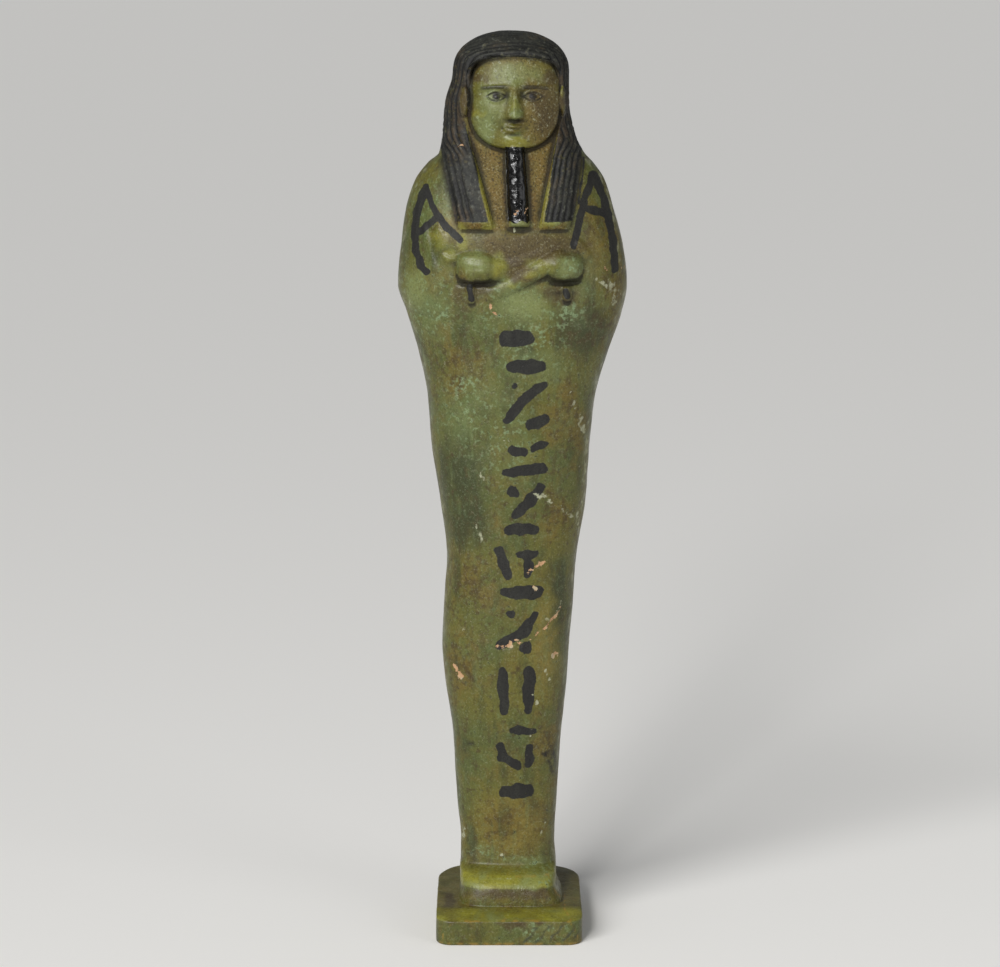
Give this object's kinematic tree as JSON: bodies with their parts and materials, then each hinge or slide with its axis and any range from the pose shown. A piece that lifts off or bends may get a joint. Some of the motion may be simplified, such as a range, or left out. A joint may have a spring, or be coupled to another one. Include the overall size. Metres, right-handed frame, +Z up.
{
  "type": "ushabti figurine",
  "caption": "Standing mummiform funerary figurine of green glazed faience, with wig, long beard, crossed hands, hoe and pick, on a low plinth with a back pillar.",
  "frame": {"origin": "middle of the plinth's underside, halfway between its front and back, under the middle of the figure's widest part", "axes": "+Z up along the standing figure, which faces -Y; +X to the right of someone looking at its face"},
  "size_m": [0.0378, 0.0314, 0.15],
  "materials": {
    "glazed_faience": "glossy olive green glaze, mottled turquoise and brown, with matt black brushwork"
  },
  "bodies": {
    "root": {"ushabti": "glazed_faience"}
  },
  "joints": []
}
